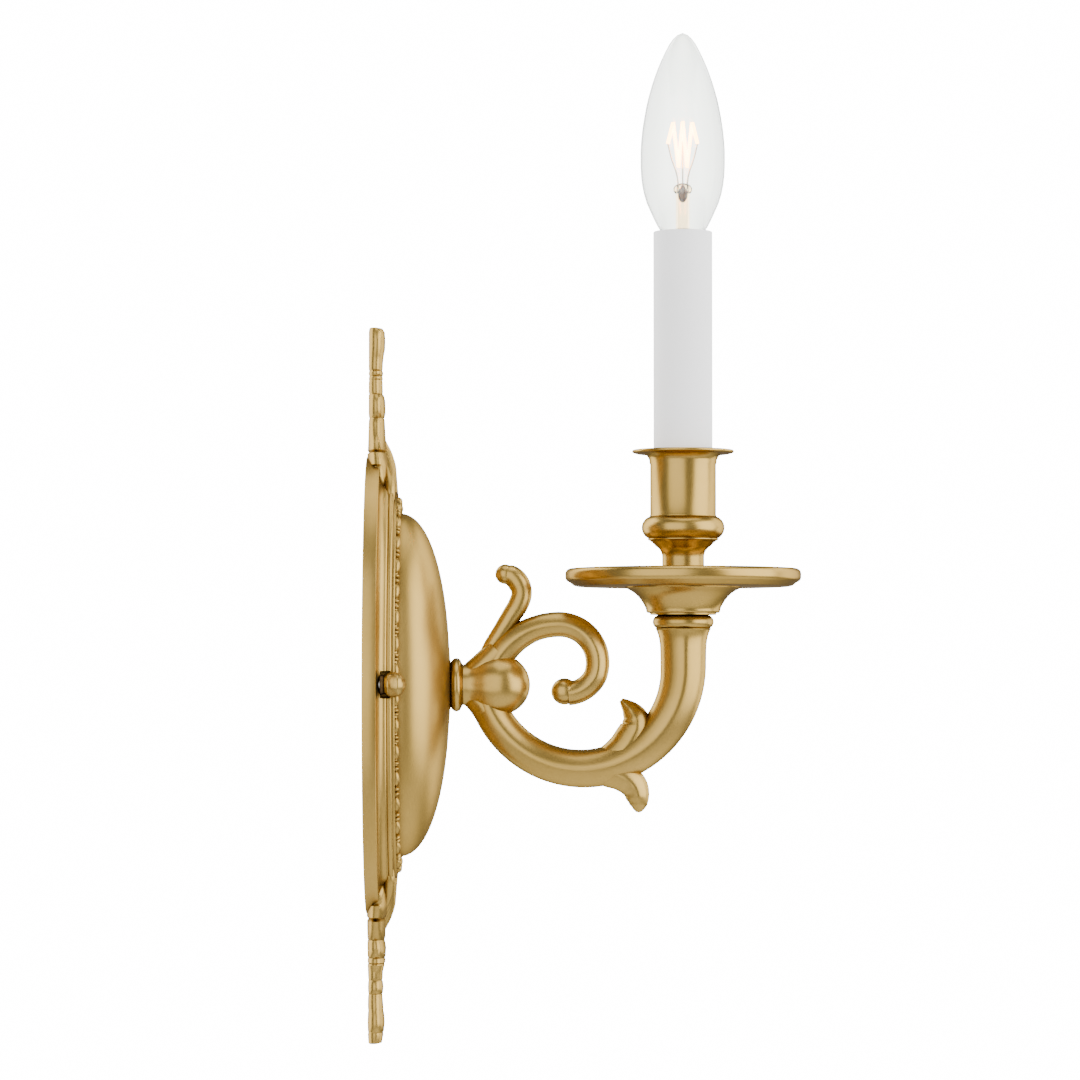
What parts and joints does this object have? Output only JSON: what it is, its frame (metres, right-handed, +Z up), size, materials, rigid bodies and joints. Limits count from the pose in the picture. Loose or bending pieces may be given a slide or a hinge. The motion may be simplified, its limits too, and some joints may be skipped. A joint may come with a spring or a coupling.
{
  "type": "electric candle wall sconce",
  "caption": "Brass electric wall sconce: oval beaded backplate, scrolled leaf arm, drip pan and cup, white candle sleeve and clear torpedo bulb.",
  "frame": {"origin": "centre of the wall strap's back face, on the wall, at the middle of the oval backplate", "axes": "+X out from the wall along the arm, +Z up along the candle, +Y to the right as seen from the room"},
  "size_m": [0.1634, 0.102, 0.3808],
  "materials": {
    "cast_brass": "aged, satin",
    "spun_brass": "aged, brushed satin",
    "turned_brass": "aged, turned satin",
    "dark_brass": "darkened",
    "contact_brass": "bright",
    "plated_steel": "zinc plated",
    "green_steel": "green screw finish",
    "dark_phenolic": "moulded",
    "black_insulation": "satin",
    "white_insulation": "satin",
    "bare_copper": "bare copper",
    "orange_plastic": "moulded",
    "white_sleeve": "matt",
    "black_glass": "opaque vitrite",
    "solder": "solder",
    "clear_glass": "clear",
    "stem_glass": "clear",
    "support_wire": "drawn wire",
    "filament": "glowing"
  },
  "bodies": {
    "sconce": {"crossbar": "plated_steel", "plate_studs": "plated_steel", "stud_nuts": "plated_steel", "ground_screw": "green_steel", "backplate": "cast_brass", "bead_ring": "cast_brass", "dome": "spun_brass", "arm_nipple": "plated_steel", "nipple_washer": "plated_steel", "nipple_nut": "plated_steel", "arm_collar": "turned_brass", "arm": "cast_brass", "scroll": "cast_brass", "tip_nipple": "plated_steel", "bobeche_seat": "turned_brass", "bobeche": "spun_brass", "candle_cup": "turned_brass", "cup_nut": "plated_steel", "socket_bracket": "plated_steel", "socket_body": "dark_phenolic", "socket_shell": "contact_brass", "socket_contact": "contact_brass", "terminal_screws": "contact_brass", "hot_lead": "black_insulation", "neutral_lead": "white_insulation", "ground_lead": "bare_copper", "wire_connectors": "orange_plastic"},
    "sleeve": {"candle_sleeve": "white_sleeve"},
    "bulb": {"bulb_base": "contact_brass", "bulb_insulator": "black_glass", "bulb_contact": "solder", "bulb_glass": "clear_glass", "bulb_stem": "stem_glass", "bulb_supports": "support_wire", "bulb_filament": "filament"},
    "left_washer_body": {"left_washer": "dark_brass"},
    "left_nut_body": {"left_ball_nut": "turned_brass"},
    "right_washer_body": {"right_washer": "dark_brass"},
    "right_nut_body": {"right_ball_nut": "turned_brass"}
  },
  "joints": [
    {"name": "bulb_lift", "type": "slide", "parent": "sconce", "child": "bulb", "axis": [0, 0, 1], "range_m": [0, 0.03]},
    {"name": "sleeve_lift", "type": "slide", "parent": "sconce", "child": "sleeve", "axis": [0, 0, 1], "range_m": [0, 0.0015]},
    {"name": "left_nut_travel", "type": "slide", "parent": "sconce", "child": "left_washer_body", "axis": [1, 0, 0], "range_m": [0, 0.0056]},
    {"name": "left_nut_turn", "type": "hinge", "parent": "left_washer_body", "child": "left_nut_body", "pos_m": [0.0079, -0.044, 0], "axis": [1, 0, 0], "range_deg": [0, 2520]},
    {"name": "right_nut_travel", "type": "slide", "parent": "sconce", "child": "right_washer_body", "axis": [1, 0, 0], "range_m": [0, 0.0056]},
    {"name": "right_nut_turn", "type": "hinge", "parent": "right_washer_body", "child": "right_nut_body", "pos_m": [0.0079, 0.044, 0], "axis": [1, 0, 0], "range_deg": [0, 2520]}
  ]
}
